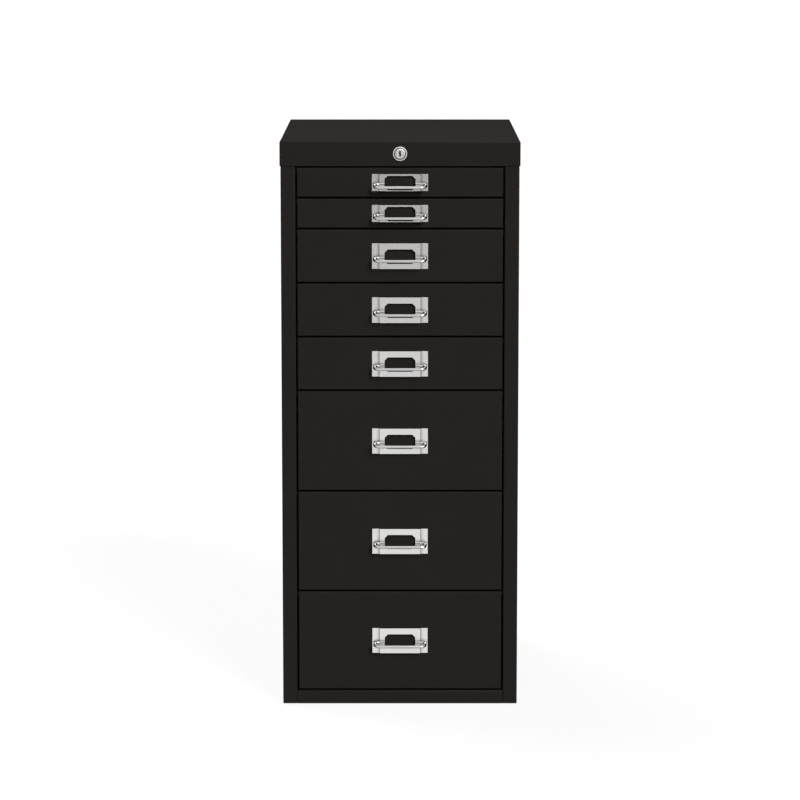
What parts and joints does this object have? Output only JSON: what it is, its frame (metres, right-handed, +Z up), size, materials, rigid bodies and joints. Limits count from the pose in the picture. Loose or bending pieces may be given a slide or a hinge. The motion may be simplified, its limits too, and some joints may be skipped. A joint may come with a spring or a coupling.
{
  "type": "multi-drawer cabinet",
  "caption": "Tall narrow steel cabinet with a stack of sliding drawers, card-holder plates with wire pulls, and one lock in the cap that holds every drawer shut.",
  "frame": {"origin": "on the floor under the middle of the bounding box", "axes": "+Z up, the drawers open towards -Y, +X to the right seen from the front"},
  "size_m": [0.281, 0.3958, 0.673],
  "materials": {
    "carcass_paint": "satin black powder coat",
    "drawer_paint": "satin black powder coat",
    "plate_nickel": "bright nickel plate on pressed steel",
    "wire_nickel": "polished nickel plate on steel wire",
    "lock_nickel": "nickel-plated die casting",
    "zinc_steel": "bright zinc plate on steel",
    "runner_nylon": "moulded black nylon",
    "glide_plastic": "moulded black polyethylene"
  },
  "bodies": {
    "carcass": {"side_panel_left": "carcass_paint", "side_panel_right": "carcass_paint", "base_panel": "carcass_paint", "back_panel": "carcass_paint", "top_cap": "carcass_paint", "lock_rail": "carcass_paint", "glide_feet": "glide_plastic", "runner_uprights": "zinc_steel", "left_runners": "runner_nylon", "right_runners": "runner_nylon", "lock_housing": "lock_nickel", "lock_nut": "zinc_steel", "shaft_bracket": "zinc_steel", "bar_guides": "zinc_steel"},
    "lock_cylinder": {"lock_plug": "lock_nickel", "lock_shaft": "zinc_steel", "lock_crank": "zinc_steel"},
    "locking_bar": {"lock_bar": "zinc_steel", "lock_fingers": "zinc_steel"},
    "drawer_1": {"drawer_1_front": "drawer_paint", "drawer_1_tray": "drawer_paint", "drawer_1_keeper": "zinc_steel", "drawer_1_plate": "plate_nickel", "drawer_1_pull": "wire_nickel"},
    "drawer_2": {"drawer_2_front": "drawer_paint", "drawer_2_tray": "drawer_paint", "drawer_2_keeper": "zinc_steel", "drawer_2_plate": "plate_nickel", "drawer_2_pull": "wire_nickel"},
    "drawer_3": {"drawer_3_front": "drawer_paint", "drawer_3_tray": "drawer_paint", "drawer_3_keeper": "zinc_steel", "drawer_3_plate": "plate_nickel", "drawer_3_pull": "wire_nickel"},
    "drawer_4": {"drawer_4_front": "drawer_paint", "drawer_4_tray": "drawer_paint", "drawer_4_keeper": "zinc_steel", "drawer_4_plate": "plate_nickel", "drawer_4_pull": "wire_nickel"},
    "drawer_5": {"drawer_5_front": "drawer_paint", "drawer_5_tray": "drawer_paint", "drawer_5_keeper": "zinc_steel", "drawer_5_plate": "plate_nickel", "drawer_5_pull": "wire_nickel"},
    "drawer_6": {"drawer_6_front": "drawer_paint", "drawer_6_tray": "drawer_paint", "drawer_6_keeper": "zinc_steel", "drawer_6_plate": "plate_nickel", "drawer_6_pull": "wire_nickel"},
    "drawer_7": {"drawer_7_front": "drawer_paint", "drawer_7_tray": "drawer_paint", "drawer_7_keeper": "zinc_steel", "drawer_7_plate": "plate_nickel", "drawer_7_pull": "wire_nickel"},
    "drawer_8": {"drawer_8_front": "drawer_paint", "drawer_8_tray": "drawer_paint", "drawer_8_keeper": "zinc_steel", "drawer_8_plate": "plate_nickel", "drawer_8_pull": "wire_nickel"}
  },
  "joints": [
    {"name": "drawer_1_slide", "type": "slide", "parent": "carcass", "child": "drawer_1", "axis": [0, -1, 0], "range_m": [0, 0.2669]},
    {"name": "drawer_2_slide", "type": "slide", "parent": "carcass", "child": "drawer_2", "axis": [0, -1, 0], "range_m": [0, 0.2669]},
    {"name": "drawer_3_slide", "type": "slide", "parent": "carcass", "child": "drawer_3", "axis": [0, -1, 0], "range_m": [0, 0.2669]},
    {"name": "drawer_4_slide", "type": "slide", "parent": "carcass", "child": "drawer_4", "axis": [0, -1, 0], "range_m": [0, 0.2669]},
    {"name": "drawer_5_slide", "type": "slide", "parent": "carcass", "child": "drawer_5", "axis": [0, -1, 0], "range_m": [0, 0.2669]},
    {"name": "drawer_6_slide", "type": "slide", "parent": "carcass", "child": "drawer_6", "axis": [0, -1, 0], "range_m": [0, 0.2669]},
    {"name": "drawer_7_slide", "type": "slide", "parent": "carcass", "child": "drawer_7", "axis": [0, -1, 0], "range_m": [0, 0.2669]},
    {"name": "drawer_8_slide", "type": "slide", "parent": "carcass", "child": "drawer_8", "axis": [0, -1, 0], "range_m": [0, 0.2669]},
    {"name": "lock_turn", "type": "hinge", "parent": "carcass", "child": "lock_cylinder", "pos_m": [0, -0.186, 0.6585], "axis": [0, 1, 0], "range_deg": [0, 90]},
    {"name": "bar_lift", "type": "slide", "parent": "carcass", "child": "locking_bar", "axis": [0, 0, 1], "range_m": [0, 0.0099]}
  ],
  "couplings": [
    {"joint": "lock_turn", "follows": "bar_lift", "rad_per_m": 158.66}
  ]
}
